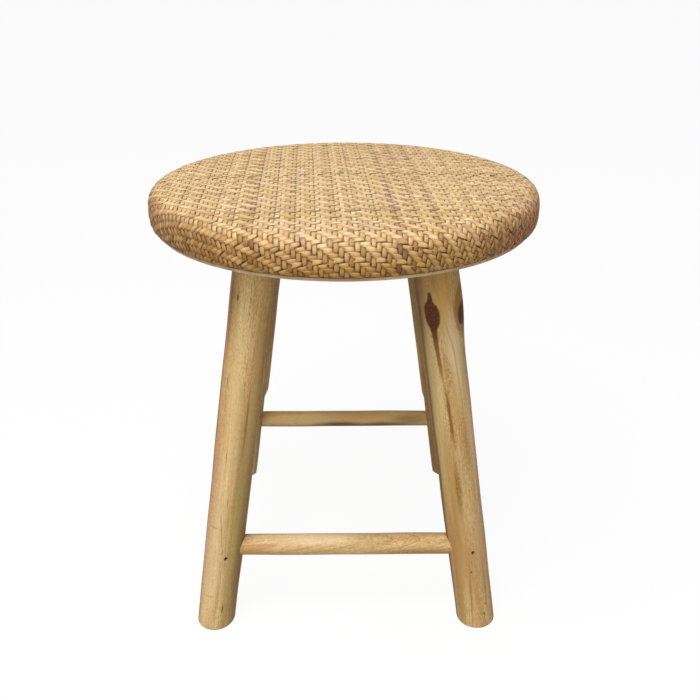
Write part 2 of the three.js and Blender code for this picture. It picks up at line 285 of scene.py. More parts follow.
def rattan():
    cane = newMaterial("plaited rattan, dry satin skin")
    tone, tint, dive = [addNode(cane, "Attribute", attribute_name=name).outputs["Fac"]
                        for name in ("strandTone", "strandTint", "strandShadeAndDust")]
    run = addNode(cane, "Attribute", attribute_name="strandRun").outputs["Vector"]
    # fibres: 0.4 mm across, drawn out twenty times along the strip
    fibreScale = addNode(cane, "Mapping", {"Vector": run, "Scale": (120, 2500, 1)})
    fibres = addNode(cane, "TexNoise", {"Vector": fibreScale, "Scale": 1.0, "Detail": 2.0})
    # blotches along a strip: about 25 mm
    patchScale = addNode(cane, "Mapping", {"Vector": run, "Scale": (45, 90, 1)})
    patches = addNode(cane, "TexNoise", {"Vector": patchScale, "Scale": 1.0, "Detail": 3.0})
    toned = addNode(cane, "Math", {0: patches, 1: 0.36, 2: tone}, operation="MULTIPLY_ADD")
    toned = addNode(cane, "Math", {0: fibres, 1: 0.16, 2: toned}, operation="MULTIPLY_ADD")
    toned = addNode(cane, "Math", {0: toned, 1: 0.26}, operation="SUBTRACT")
    straw, olive, pink = [
        addNode(cane, "ValToRGB", {0: toned}, [(step / 4, shade) for step, shade in enumerate(shades)])
        for shades in rattanShades.values()]
    # some parts of the mat are redder and some greener, a hand's breadth across
    place = addNode(cane, "TexCoord").outputs["Object"]
    area = addNode(cane, "TexNoise", {"Vector": place, "Scale": 17.0, "Detail": 1.0})
    tint = addNode(cane, "Math", {0: tint, 1: 0.45}, operation="SUBTRACT")
    tint = addNode(cane, "Math", {0: area, 1: 0.9, 2: tint}, operation="MULTIPLY_ADD")
    toOlive = addNode(cane, "MapRange", {0: tint, 1: 0.35, 2: 0.0, 3: 0.0, 4: 1.0})
    toPink = addNode(cane, "MapRange", {0: tint, 1: 0.65, 2: 1.0, 3: 0.0, 4: 1.0})
    mixed = addNode(cane, "Mix", {0: toOlive, 6: straw, 7: olive}, data_type="RGBA")
    mixed = addNode(cane, "Mix", {0: toPink, 6: mixed.outputs[2], 7: pink}, data_type="RGBA")
    # down the rim the strips turn a golden brown, and redder on the right: painted shade where the rim
    # turns away from the light, with a painted warm cast of the light on the right
    parts = addNode(cane, "SeparateXYZ", {0: place})
    low = addNode(cane, "MapRange", {0: parts.outputs[2], 1: seatTop - 0.004, 2: hemBottom,
                                     3: 0.0, 4: 1.0})
    rimShadeRamp = addNode(cane, "ValToRGB", {0: low}, [
        (0.0, "#ffffff"), (0.35, "#f2e3c8"), (0.7, "#e3ce9f"), (1.0, "#d4ba84")])
    right = addNode(cane, "MapRange", {0: parts.outputs[0], 1: 0.1, 2: seatRadius, 3: 0.0, 4: 2.0})
    right = addNode(cane, "Math", {0: right, 1: low}, operation="MULTIPLY", use_clamp=True)
    redder = addNode(cane, "Mix", {0: right, 6: rimShadeRamp, 7: linearColour("#cfa282")}, data_type="RGBA")
    golden = addNode(cane, "Mix", {0: 1.0, 6: mixed.outputs[2], 7: redder.outputs[2]},
                     data_type="RGBA", blend_type="MULTIPLY")
    # painted shade and dust darken the strip where it dives under its neighbours, along its seams and
    # in its holes
    shadeAndDust = addNode(cane, "Mix", {0: dive, 6: golden.outputs[2], 7: linearColour("#4a2f17")},
                    data_type="RGBA")
    bump = addNode(cane, "Bump", {"Strength": 0.25, "Distance": 0.0002, "Height": fibres})
    shader = addNode(cane, "BsdfPrincipled", {
        "Base Color": shadeAndDust.outputs[2], "Roughness": 0.55, "Specular IOR Level": 0.3, "Normal": bump})
    addNode(cane, "OutputMaterial", {"Surface": shader})
    return cane


# The mat, woven two over and two under. It is plaited flat, then laid over the seat from the middle
# outwards, down the rim and under the board.

seat = {
    "crownSidePower": 20,
    "crownTopPower": 4,
    "dome": 0.004,
    "tuckPower": 3.3,
    "widestAboveUnderside": 0.0162,
    "tuckInset": 0.0071,
    "hemWidth": 0.036,
    "outlinePoints": 900,
}
weave = {
    "turn": math.radians(2.5),
    "gather": 0.2,
    "thickness": 0.00086,
    "skinInset": 0.00108,
    "hemShown": 0.012,
    "ringShares": (0, 0.15, 0.35, 1, 1.65, 1.85, 2, 2.3, 3, 3.7),
    "widthSpread": 0.055,
    "widthLimits": (0.85, 1.12),
    "liftSpread": 0.00004,
    "rollSpread": 0.03,
    "drifts": ((0.00022, 0.045, 1), (0.00014, 0.011, 3)),
    "waveReach": 0.5,
    "wavePower": 0.7,
    "divePower": 7,
    "diveNarrowing": 0.18,
    "rimFrom": 0.94,
    "rimRun": 0.06,
    "tone": 0.565,
    "toneSpread": 0.07,
    "brownShare": 0.07,
    "brownDepth": 0.16,
    "darkDepth": 0.24,
    "paleDepth": 0.1,
    "shadeSideways": 0.12,
    "shadeLeftwards": 0.24,
    "shadeRearwards": 0.04,
    "seed": 11,
}
strands = {
    "rows": {
        "names": ("woven_rows_front", "woven_rows_rear"),
        "pitch": 0.0041, "width": 1.06, "flatShare": 0.64, "rise": 0.0007,
        "tone": 0.0, "tint": -0.03, "weathering": 0.075, "rimShade": -0.12, "seamDustAndShade": 0.75,
        "dark": (), "pale": (),
    },
    "columns": {
        "names": ("woven_columns_right", "woven_columns_left"),
        "pitch": 0.00434, "width": 0.9, "flatShare": 0.84, "rise": 0.00036,
        "tone": -0.02, "tint": 0.06, "weathering": 0.055, "rimShade": 0.01, "seamDustAndShade": 0.4,
        "dark": (-9, -10, -12, -17, 19, 20, 21), "pale": (1, 5, 6, 13, 14),
    },
}

matLow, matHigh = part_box("woven_cover")
boardLow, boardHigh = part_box("closing_board")
seatRadius = matHigh.x
seatTop = matHigh.z
hemBottom = matLow.z
widestHeight = boardLow.z + seat["widestAboveUnderside"]
tuckRadius = seatRadius - seat["tuckInset"]


def seatProfile(inset, hem):
    # radii, heights and lengths along the outline, from the middle of the top to the hem's end
    shares = np.linspace(0, 1, seat["outlinePoints"])
    crownAngles = np.sort(np.concatenate([
        np.arcsin(shares ** (seat["crownSidePower"] / 2)), shares * math.pi / 2]))
    radii = (seatRadius - inset) * np.sin(crownAngles) ** (2 / seat["crownSidePower"])
    rise = seatTop - seat["dome"] - widestHeight - inset
    heights = widestHeight + rise * np.clip(np.cos(crownAngles), 0, 1) ** (2 / seat["crownTopPower"])
    # the padding swells the middle of the flat top a little
    heights = heights + seat["dome"] * np.cos(math.pi / 2 * radii / seatRadius) ** 2
    tuckAngles = shares[1:] * math.pi / 2
    reach = seatRadius - tuckRadius - inset
    drop = widestHeight - hemBottom - inset
    tuckRadii = tuckRadius + reach * np.clip(np.cos(tuckAngles), 0, 1) ** (2 / seat["tuckPower"])
    tuckHeights = widestHeight - drop * np.sin(tuckAngles) ** (2 / seat["tuckPower"])
    radii = np.concatenate([radii, tuckRadii, tuckRadius - hem * shares[1:]])
    heights = np.concatenate([heights, tuckHeights, np.full(len(shares) - 1, tuckHeights[-1])])
    lengths = np.concatenate([[0], np.cumsum(np.hypot(np.diff(radii), np.diff(heights)))])
    keep = np.concatenate([[True], np.diff(lengths) > 1e-9])
    return radii[keep], heights[keep], lengths[keep]


matOutline = seatProfile(weave["skinInset"], weave["hemShown"])
matReach = matOutline[2][-1]


def overSeat(places):
    radii, heights, lengths = matOutline
    slopeR, slopeZ = np.gradient(radii, lengths), np.gradient(heights, lengths)
    flat = np.hypot(places[:, 0], places[:, 1])
    angle = np.arctan2(places[:, 1], places[:, 0])
    # over the edge the mat hangs straight at its four sides, and is gathered between them
    over = np.clip(flat / seatRadius - 1, 0, 0.2)
    angle = angle + weave["gather"] * over * np.sin(4 * angle) + weave["turn"]
    radius, height, outR, outZ = [
        np.interp(flat, lengths, values) for values in (radii, heights, -slopeZ, slopeR)]
    lift = places[:, 2] / np.hypot(outR, outZ)
    radius = radius + lift * outR
    return np.stack([radius * np.cos(angle), radius * np.sin(angle), height + lift * outZ], 1)


def stripLayer(strand, pitchAlong):
    # all strips of one direction, side by side and flat, with rings where they bend
    period = 4 * pitchAlong
    periods = 2 * math.ceil((matReach + period) / period)
    strips = 2 * math.ceil(matReach / strand["pitch"])
    width = strand["pitch"] * strand["width"]
    bpy.ops.object.select_all(action="DESELECT")
    bpy.ops.mesh.primitive_cylinder_add(
        vertices=6, radius=0.5, depth=1, end_fill_type="NOTHING", rotation=(0, math.pi / 2, 0))
    layer = bpy.context.object
    bpy.ops.object.transform_apply(rotation=True)
    startEdit(layer)
    bpy.ops.mesh.select_all(action="SELECT")
    bpy.ops.transform.resize(value=(period, width, weave["thickness"] / math.cos(math.pi / 6)))
    bpy.ops.transform.translate(value=(period / 2, 0, 0))
    endEdit()
    # a split strip is flat on both faces, with round edges
    corners = points(layer.data)
    corners[:, 1] *= np.where(np.abs(corners[:, 1]) < 0.4 * width, 2 * strand["flatShare"], 1)
    setPoints(layer.data, corners)
    bisectAt(layer, [share * pitchAlong for share in weave["ringShares"][1:]], "x")
    for count, step, settings in (
            (periods, (period, 0, 0), {"use_merge_vertices": True, "merge_threshold": 1e-5}),
            (strips, (0, strand["pitch"], 0), {})):
        addModifier(layer, "ARRAY", count=count, use_relative_offset=False,
                    use_constant_offset=True, constant_offset_displace=step, **settings)
    return layer, periods, strips


def plait(layer, periods, strips, strand, pitchAlong, random):
    # bends the strips over and under one another, and notes each point's colour and dirt
    columns = strand is strands["columns"]
    mesh = layer.data
    places = points(mesh)
    strip = np.clip(np.round(places[:, 1] / strand["pitch"]).astype(int), 0, strips - 1)
    across = places[:, 1] - strip * strand["pitch"]
    edge = np.abs(across) > 0.98 * np.abs(across).max()
    number = strip - strips // 2
    phase = -number - 1 if columns else number + 2
    share = places[:, 0] / pitchAlong
    along = places[:, 0] - periods * 2 * pitchAlong - (phase % 4) * pitchAlong
    centre = (number + 0.5) * strand["pitch"]

    # the strips differ a little in width, thickness and straightness
    widths = np.clip(random.normal(1.0, weave["widthSpread"], strips), *weave["widthLimits"])[strip]
    sway = random.uniform(0, 2 * math.pi, strips)[strip]
    lifts = random.normal(0, weave["liftSpread"], strips)[strip]
    rolls = random.normal(0, weave["rollSpread"], strips)[strip]
    wave = np.sin(math.pi / 2 * share)
    wave = np.sign(wave) * np.clip(np.abs(wave) / weave["waveReach"], 0, 1) ** weave["wavePower"]
    dive = np.abs(np.cos(math.pi / 2 * share)) ** weave["divePower"]
    across = across * widths * (1 - weave["diveNarrowing"] * dive)
    drift = sum(size * np.sin(along / length + turns * sway)
                for size, length, turns in weave["drifts"])
    height = places[:, 2] + strand["rise"] * wave + lifts + across * rolls
    cross = centre + across + drift
    flat = np.stack([-cross, along, height], 1) if columns else np.stack([along, cross, height], 1)
    setPoints(mesh, flat)

    # a few strips are brown; painted shade darkens all down the rim, most at the sides and on the
    # left, and the back of the top a little; on the front of the rim the rows get a painted highlight
    tones = random.normal(weave["tone"], weave["toneSpread"], strips)
    tones -= weave["brownDepth"] * (random.uniform(0, 1, strips) < weave["brownShare"])
    tones += strand["tone"]
    tints = random.beta(2.2, 2.2, strips) + strand["tint"]
    for each in strand["dark"]:
        tones[strips // 2 + each] -= weave["darkDepth"]
    for each in strand["pale"]:
        tones[strips // 2 + each] += weave["paleDepth"]
    ring = np.hypot(along, centre)
    rim = np.clip((ring / seatRadius - weave["rimFrom"]) / weave["rimRun"], 0, 1)
    sideways = np.abs(flat[:, 0]) / ring
    leftwards = np.clip(-flat[:, 0] / ring, 0, 1)
    rearwards = np.clip(flat[:, 1] / seatRadius, 0, 1)
    shade = rim * (strand["rimShade"] + weave["shadeSideways"] * sideways
                   + weave["shadeLeftwards"] * leftwards) + weave["shadeRearwards"] * rearwards
    # each stretch that lies on top has weathered in its own way
    stretch = (share / 2 + 0.001).astype(int)
    shade = shade + random.normal(0, strand["weathering"], (strips, 2 * periods + 1))[strip, stretch]
    # where a strip and the next one both lie on top the seam between them gapes, and painted shade and
    # dust darken it there, here more and there less, and most of all down the rim
    nearSeam = np.where((across > 0) != columns, 0.5, 1.5)
    gapes = np.clip(1.4 - 1.6 * np.abs(share % 4 - nearSeam), 0, 1)
    cells = random.uniform(0.25, 1.0, (strips, 4 * periods + 1))
    seamDarkness = cells[strip, np.round(share).astype(int)] * (0.2 + 0.8 * gapes)
    seam = strand["seamDustAndShade"] * (seamDarkness + rim * (0.35 + 0.5 * sideways))
    # where the strip lies under its neighbours it is given painted shade
    under = np.clip(-wave, 0, 1)
    # at one end of each stretch on top there is a small hole, filled with painted shade, darker here
    # and paler there
    holes = random.uniform(0.3, 1.15, (strips, 2 * periods + 1))[strip, stretch]
    opening = 0.2 + 0.3 * rim if columns else 0.3 + 0.5 * rim * sideways
    ends = dive * np.where(np.abs(share % 4 - 2) < 1, holes, opening)
    setAttribute(mesh, "strandTone", tones[strip] - shade)
    setAttribute(mesh, "strandTint", tints[strip])
    setAttribute(mesh, "strandRun", np.stack([along + number * 0.37, across, np.zeros(len(along))], 1))
    setAttribute(mesh, "strandShadeAndDust", np.clip(0.6 * under + ends + edge * seam, 0, 0.95))
    return ring > matReach, number < 0


def makeMat(material):
    halves = []
    random = np.random.default_rng(weave["seed"])
    for kind, crossed in (("rows", "columns"), ("columns", "rows")):
        strand, pitchAlong = strands[kind], strands[crossed]["pitch"]
        layer, periods, strips = stripLayer(strand, pitchAlong)
        print("strips laid:", strips, "points", len(layer.data.vertices))
        beyond, firstHalf = plait(layer, periods, strips, strand, pitchAlong, random)
        setPoints(layer.data, overSeat(points(layer.data)))
        for half, name, dropped in zip(
                (layer, copyOf(layer)), strand["names"], (~firstHalf, firstHalf)):
            pick(half, "vertices", beyond | dropped)
            startEdit(half)
            bpy.ops.mesh.delete(type="VERT")
            bpy.ops.mesh.select_all(action="SELECT")
            bpy.ops.mesh.fill_holes(sides=6)
            bpy.ops.mesh.faces_shade_smooth()
            endEdit()
            finishPiece(half, name, "woven_cover", material)
            halves.append(half)
    return halves


mat = makeMat(rattan())
print("mat plaited")


# Under the strips lie a dark brown backing cloth, whose colour is painted shade in the gaps between
# the strips and which the hem folds in with the mat, and a foam pad.

backing = {"inset": 0.0020, "thickness": 0.0003, "sides": 96, "outlinePoints": 40}
pad = {"inset": 0.0026, "sides": 96, "edgeRound": 0.0012, "hem": 0.001, "outlinePoints": 60}


def turnedShape(outline, sides):
    # a ball whose rings are moved to the outline, from the top of the axis to its bottom
    bpy.ops.object.select_all(action="DESELECT")
    bpy.ops.mesh.primitive_uv_sphere_add(segments=sides, ring_count=len(outline) - 1, radius=1)
    piece = bpy.context.object
    places = points(piece.data)
    levels = np.unique(np.round(places[:, 2], 5))[::-1]
    ring = np.argmin(np.abs(places[:, 2][:, None] - levels[None, :]), axis=1)
    radii, heights = np.array(outline).T
    flat = np.maximum(np.hypot(places[:, 0], places[:, 1]), 1e-9)
    places[:, 0] *= radii[ring] / flat
    places[:, 1] *= radii[ring] / flat
    places[:, 2] = heights[ring]
    setPoints(piece.data, places)
    return piece


def outlineAt(inset, hem, count):
    # points of the seat's outline, close together where it turns
    radii, heights, lengths = seatProfile(inset, hem)
    turning = np.abs(np.gradient(np.unwrap(np.arctan2(np.gradient(heights), np.gradient(radii)))))
    weight = np.cumsum(turning / turning.sum() + 0.4 * np.gradient(lengths) / lengths[-1])
    wanted = np.interp(np.linspace(weight[0], weight[-1], count), weight, lengths)
    return [(np.interp(at, lengths, radii), np.interp(at, lengths, heights)) for at in wanted]


def shadeBackingCloth():
    # cotton backing cloth, plain woven, dark brown as painted shade in the gaps of the mat: dull, with
    # threads 0.5 mm apart
    shadeCloth = newMaterial("dark backing cloth, painted shade in the gaps")
    place = addNode(shadeCloth, "TexCoord").outputs["Object"]
    threads = addNode(shadeCloth, "TexNoise", {"Vector": place, "Scale": 2000.0, "Detail": 1.0})
    colour = addNode(shadeCloth, "ValToRGB", {0: threads}, [(0.3, "#2e1d10"), (0.7, "#4b321c")])
    shader = addNode(shadeCloth, "BsdfPrincipled", {
        "Base Color": colour, "Roughness": 0.95, "Specular IOR Level": 0.2})
    addNode(shadeCloth, "OutputMaterial", {"Surface": shader})
    return shadeCloth


def seatFoam():
    # polyurethane foam, cut and glued: dull, with open cells about 1 mm across
    foam = newMaterial("polyurethane seat foam")
    place = addNode(foam, "TexCoord").outputs["Object"]
    cells = addNode(foam, "TexVoronoi", {"Vector": place, "Scale": 900.0}).outputs["Distance"]
    colour = addNode(foam, "ValToRGB", {0: cells}, [(0.0, "#c9b98a"), (0.6, "#e3d8ae")])
    bump = addNode(foam, "Bump", {"Strength": 0.4, "Distance": 0.0004, "Height": cells})
    shader = addNode(foam, "BsdfPrincipled", {
        "Base Color": colour, "Roughness": 0.95, "Normal": bump})
    addNode(foam, "OutputMaterial", {"Surface": shader})
    return foam


def makeBacking(material):
    outer, inner = [
        outlineAt(inset, seat["hemWidth"], backing["outlinePoints"])
        for inset in (backing["inset"], backing["inset"] + backing["thickness"])]
    cloth = turnedShape(outer + inner[::-1], backing["sides"])
    smooth(cloth, 60)
    finishPiece(cloth, "mat_shade_backing", "woven_cover", material)


def makePad(material):
    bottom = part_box("seat_pad")[0].z
    outline = outlineAt(pad["inset"], pad["hem"], pad["outlinePoints"])
    crown = [spot for spot in outline if spot[1] > bottom]
    reach = crown[-1][0]
    flat = [(reach - pad["edgeRound"], bottom), (reach * 0.5, bottom), (0.0, bottom)]
    cushion = turnedShape(crown + flat, pad["sides"])
    smooth(cushion, 50)
    finishPiece(cushion, "foam_pad", "seat_pad", material)


makeBacking(shadeBackingCloth())
makePad(seatFoam())
print("backing and pad made")


# Legs and stretchers. Each leg is turned upright, then leaned towards its own corner.

clearance = 0.0003
leg = {
    "inset": 0.0788,
    "splay": 0.0593,
    "radiusAtSeat": 0.0208,
    "radiusAtFloor": 0.0198,
    "footRound": 0.0024,
    "tenonRadius": 0.014,
    "tenonBevel": 0.0012,
    "paredLeft": {"depth": 0.0034, "height": 0.133, "run": 0.007},
    "paredRight": {"depth": 0.0018, "height": 0.128, "run": 0.007},
    "sides": 72,
    "ringSpacing": 0.006,
    "unevenness": 0.0002,
    "seed": 5,
}
stretcherForm = {
    "tenonRadius": 0.007,
    "tenonReach": 0.0085,
    "tenonBevel": 0.001,
    "sides": 56,
    "ringSpacing": 0.008,
    "unevenness": 0.00016,
}
stretchers = {
    "front": {"along": "x", "side": -1, "height": 0.0887, "radius": 0.0109},
    "rear": {"along": "x", "side": 1, "height": 0.090, "radius": 0.0102},
    "left": {"along": "y", "side": -1, "height": 0.123, "radius": 0.0105},
    "right": {"along": "y", "side": 1, "height": 0.123, "radius": 0.0105},
}
corners = {
    "front_left": (-1, -1),
    "front_right": (1, -1),
    "rear_left": (-1, 1),
    "rear_right": (1, 1),
}
underside = boardLow.z
shoulder = underside - clearance
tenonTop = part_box("leg_front_left")[1].z
leanSlope = leg["splay"] / underside
leanStretch = math.hypot(1, math.sqrt(2) * leanSlope)
spreadAtFloor = (seatRadius - leg["inset"]) * math.sqrt(0.5) + leg["splay"]


def legCentre(height):
    return spreadAtFloor - leanSlope * height


def leaned(places, corner, back=False):
    # from a leg's own upright space to its place under the seat, or back
    outwards = np.array(corner) / math.sqrt(2)
    centre = np.outer(legCentre(places[:, 2]), corner)
    flat = places[:, :2] - (centre if back else 0)
    stretch = (1 / leanStretch if back else leanStretch) - 1
    flat = flat + np.outer(flat @ outwards * stretch, outwards) + (0 if back else centre)
    return np.column_stack([flat, places[:, 2]])


# waves of unevenness: the weight, the number around a stick, and the metres along it per radian
unevenWaves = ((1, 2, 0.061), (0.7, 3, -0.037), (0.6, 0, 0.021), (0.5, 1, 0.013))


def uneven(places, lengthways, amount, random):
    # a turned stick is never quite round or straight
    starts = random.uniform(0, 2 * math.pi, len(unevenWaves))
    around = np.arctan2(places[:, 1], places[:, 0])
    swell = sum(weight * np.sin(number * around + lengthways / length + start)
                for (weight, number, length), start in zip(unevenWaves, starts))
    radius = np.hypot(places[:, 0], places[:, 1])
    grown = 1 + amount * swell / np.maximum(radius, 0.004)
    places[:, :2] *= np.where(radius > 0.004, grown, 1)[:, None]
    return places


def turnedBar(radius, low, high, sides, spacing, extraRings=()):
    # an upright bar between two heights, with rings along it
    bpy.ops.object.select_all(action="DESELECT")
    bpy.ops.mesh.primitive_cylinder_add(
        vertices=sides, radius=radius, depth=high - low, location=(0, 0, (low + high) / 2))
    piece = bpy.context.object
    bpy.ops.object.transform_apply(location=True)
    count = round((high - low) / spacing)
    rings = [low + (high - low) * step / count for step in range(1, count)] + list(extraRings)
    bisectAt(piece, rings, "z")
    return piece


def legBlank():
    steps = [pared["height"] + share * pared["run"] for share in (0, 1)
             for pared in (leg["paredLeft"], leg["paredRight"])]
    blank = turnedBar(leg["radiusAtFloor"], 0, shoulder, leg["sides"], leg["ringSpacing"], steps)
    pick(blank, "edges", edgesAt(blank.data, 0))
    startEdit(blank, "EDGE")
    bpy.ops.mesh.bevel(offset=leg["footRound"], segments=4)
    endEdit()
    places = points(blank.data)
    growth = leg["radiusAtSeat"] / leg["radiusAtFloor"] - 1
    places[:, :2] *= 1 + growth * places[:, 2:] / underside
    setPoints(blank.data, places)
    pick(blank, "polygons", [face.center.z > shoulder - 1e-5 for face in blank.data.polygons])
    startEdit(blank, "FACE")
    bpy.ops.mesh.inset(thickness=leg["radiusAtSeat"] - leg["tenonRadius"])
    bpy.ops.mesh.extrude_region_move(
        TRANSFORM_OT_translate={"value": (0, 0, tenonTop - shoulder)})
    endEdit()
    pick(blank, "edges", edgesAt(blank.data, tenonTop))
    startEdit(blank, "EDGE")
    bpy.ops.mesh.bevel(offset=leg["tenonBevel"], segments=2)
    endEdit()
    return blank


def legShape(blank, corner, swells, random):
    piece = copyOf(blank)
    places = points(piece.data)
    shaft = np.hypot(places[:, 0], places[:, 1]) > leg["tenonRadius"] + 0.001
    lively = uneven(places.copy(), places[:, 2], leg["unevenness"], random)
    for swell in swells:
        # the stick is thicker where a branch grew
        aside = (np.arctan2(places[:, 0], -places[:, 1]) - swell["at"][0]) / swell["reach"][0]
        up = (places[:, 2] - swell["at"][1]) / swell["reach"][1]
        thicker = swell["size"] * np.exp(-aside ** 2 - up ** 2)
        lively[:, :2] *= 1 + (thicker / leg["radiusAtSeat"])[:, None]
    places = np.where(shaft[:, None], lively, places)
    if corner[1] > 0:
        pared = leg["paredLeft" if corner[0] < 0 else "paredRight"]
        face = leg["radiusAtFloor"] - pared["depth"]
        runOut = np.maximum(places[:, 2] - pared["height"], 0) * pared["depth"] / pared["run"]
        inward = np.minimum(-corner[0] * places[:, 0], face + runOut)
        places[:, 0] = np.where(shaft, -corner[0] * inward, places[:, 0])
    setPoints(piece.data, leaned(places, corner))
    return piece


def stretcherPlace(stretcher, lengthways):
    across = stretcher["side"] * legCentre(stretcher["height"])
    if stretcher["along"] == "x":
        return Vector((lengthways, across, stretcher["height"]))
    return Vector((across, lengthways, stretcher["height"]))


def lieAlong(piece, stretcher):
    # lays an upright bar down along its stretcher's line
    quarter = math.pi / 2
    turn = (0, quarter, 0) if stretcher["along"] == "x" else (-quarter, 0, 0)
    piece.rotation_euler = turn
    piece.location = stretcherPlace(stretcher, 0)
    chooseOnly(piece)
    bpy.ops.object.transform_apply(location=True, rotation=True)
    return piece


def tenonBar(stretcher, room):
    half = legCentre(stretcher["height"]) + stretcherForm["tenonReach"] + room
    bpy.ops.object.select_all(action="DESELECT")
    bpy.ops.mesh.primitive_cylinder_add(
        vertices=32, radius=stretcherForm["tenonRadius"] + room, depth=2 * half)
    piece = bpy.context.object
    pick(piece, "edges", np.array(edgesAt(piece.data, half)) | np.array(edgesAt(piece.data, -half)))
    startEdit(piece, "EDGE")
    bpy.ops.mesh.bevel(offset=stretcherForm["tenonBevel"], segments=1)
    endEdit()
    return lieAlong(piece, stretcher)


def pinHole(pinName):
    # the hole runs from the pin's inner end out through the leg's face
    low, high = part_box(pinName)
    size, centre = high - low, (low + high) / 2
    axis = 0 if size.x > size.y else 1
    outward = 1 if centre[axis] > 0 else -1
    overrun = 0.012
    centre[axis] += outward * overrun / 2
    bpy.ops.object.select_all(action="DESELECT")
    bpy.ops.mesh.primitive_cylinder_add(
        vertices=16, radius=size.z / 2 + clearance, depth=size[axis] + overrun, location=centre,
        rotation=(0, math.pi / 2, 0) if axis == 0 else (math.pi / 2, 0, 0))
    return bpy.context.object


def grown(piece, amount):
    startEdit(piece)
    bpy.ops.mesh.select_all(action="SELECT")
    bpy.ops.mesh.remove_doubles(threshold=1e-5)
    bpy.ops.transform.shrink_fatten(value=amount)
    endEdit()
    return piece


def sawCut(wedgeName):
    # the wedge's own shape with room for glue
    cutter = copyOf(nodes[wedgeName])
    cutter.parent = None
    return grown(cutter, clearance)


def pinsOf(name):
    # the pins at a stretcher's two ends
    return {-1: "stretcher_pin_" + name + "_1", 1: "stretcher_pin_" + name + "_2"}


def meetsLeg(stretcher, corner):
    return stretcher["side"] == (corner[1] if stretcher["along"] == "x" else corner[0])


def makeStretcher(name, stretcher, legShapes, random, material):
    reach = legCentre(stretcher["height"])
    bar = turnedBar(stretcher["radius"], -reach, reach, stretcherForm["sides"],
                    stretcherForm["ringSpacing"])
    places = points(bar.data)
    setPoints(bar.data, uneven(places, places[:, 2], stretcherForm["unevenness"], random))
    lieAlong(bar, stretcher)
    for cornerName, corner in corners.items():
        if meetsLeg(stretcher, corner):
            cutWith(bar, grown(copyOf(legShapes[cornerName]), clearance))
    cutWith(bar, tenonBar(stretcher, 0), "UNION")
    for pinName in pinsOf(name).values():
        cutWith(bar, pinHole(pinName))
    smooth(bar, 35)
    places = points(bar.data)
    middle = np.array(stretcherPlace(stretcher, 0))
    order = (1, 2, 0) if stretcher["along"] == "x" else (0, 2, 1)
    grain = (places - middle)[:, order]
    setAttribute(bar.data, "grain", grain)
    around = np.arctan2(grain[:, 1], -grain[:, 0]) * stretcher["radius"]
    setAttribute(bar.data, "skin", np.column_stack([around, grain[:, 2], 0 * around]))
    finishPiece(bar, "rung_" + name, "stretcher_" + name, material)


def makeLeg(name, corner, shape, material):
    for stretcherName, stretcher in stretchers.items():
        if not meetsLeg(stretcher, corner):
            continue
        cutWith(shape, tenonBar(stretcher, clearance))
        end = corner[0] if stretcher["along"] == "x" else corner[1]
        cutWith(shape, pinHole(pinsOf(stretcherName)[end]))
    cutWith(shape, sawCut("leg_wedge_" + name))
    smooth(shape, 35)
    upright = leaned(points(shape.data), corner, back=True)
    # the skin's places run round the leg from the line that faces the front, and up it
    taper = (leg["radiusAtSeat"] - leg["radiusAtFloor"]) / underside
    radius = leg["radiusAtFloor"] + taper * upright[:, 2]
    around = np.arctan2(upright[:, 0], -upright[:, 1]) * radius
    setAttribute(shape.data, "skin", np.column_stack([around, upright[:, 2], 0 * around]))
    for bend in legLooks[name].get("bends", ()):
        # the grain flows round a knot as water does round a stone
        aside = around - bend["at"][0]
        far = aside ** 2 + ((upright[:, 2] - bend["at"][1]) / bend["drawnOut"]) ** 2
        around = around - aside * bend["radius"] ** 2 / np.maximum(far, bend["radius"] ** 2)
    flat = np.hypot(upright[:, 0], upright[:, 1])
    grain = [flat * np.sin(around / radius), -flat * np.cos(around / radius), upright[:, 2]]
    setAttribute(shape.data, "grain", np.column_stack(grain))
    finishPiece(shape, "turned_leg_" + name, "leg_" + name, material)


def addMark(wood, colour, skin, mark):
    # a stain or a knot: deepest in the middle of an oval on the leg's face, which may lean
    moved = addNode(wood, "VectorMath", {0: skin, 1: (*mark["at"], 0)}, operation="SUBTRACT")
    parts = addNode(wood, "SeparateXYZ", {0: moved})
    aside = addNode(wood, "Math", {0: parts.outputs[1], 1: -mark["lean"], 2: parts.outputs[0]},
                    operation="MULTIPLY_ADD")
    across = addNode(wood, "Math", {0: aside, 1: 1 / mark["halfWidth"]}, operation="MULTIPLY")
    up = addNode(wood, "Math", {0: parts.outputs[1], 1: 1 / mark["halfHeight"]}, operation="MULTIPLY")
    oval = addNode(wood, "CombineXYZ", {0: across, 1: up})
    away = addNode(wood, "VectorMath", {0: oval}, operation="LENGTH").outputs["Value"]
    share = addNode(wood, "MapRange", {
        0: away, 1: 1 - mark["soft"], 2: 1 + mark["soft"], 3: mark["depth"], 4: 0.0},
        interpolation_type="SMOOTHSTEP")
    if mark["grit"]:
        # made up of dots, 1 mm across and 3 mm long
        dotScale = addNode(wood, "Mapping", {"Vector": skin, "Scale": (1000, 350, 1)})
        dots = addNode(wood, "TexNoise", {"Vector": dotScale, "Scale": 1.0})
        dotted = addNode(wood, "MapRange", {0: dots, 1: 0.48, 2: 0.6, 3: 0.15, 4: 1.0})
        share = addNode(wood, "Math", {0: share, 1: dotted}, operation="MULTIPLY")
    return addNode(wood, "Mix", {0: share, 6: colour, 7: linearColour(mark["colour"])},
                   data_type="RGBA").outputs[2]


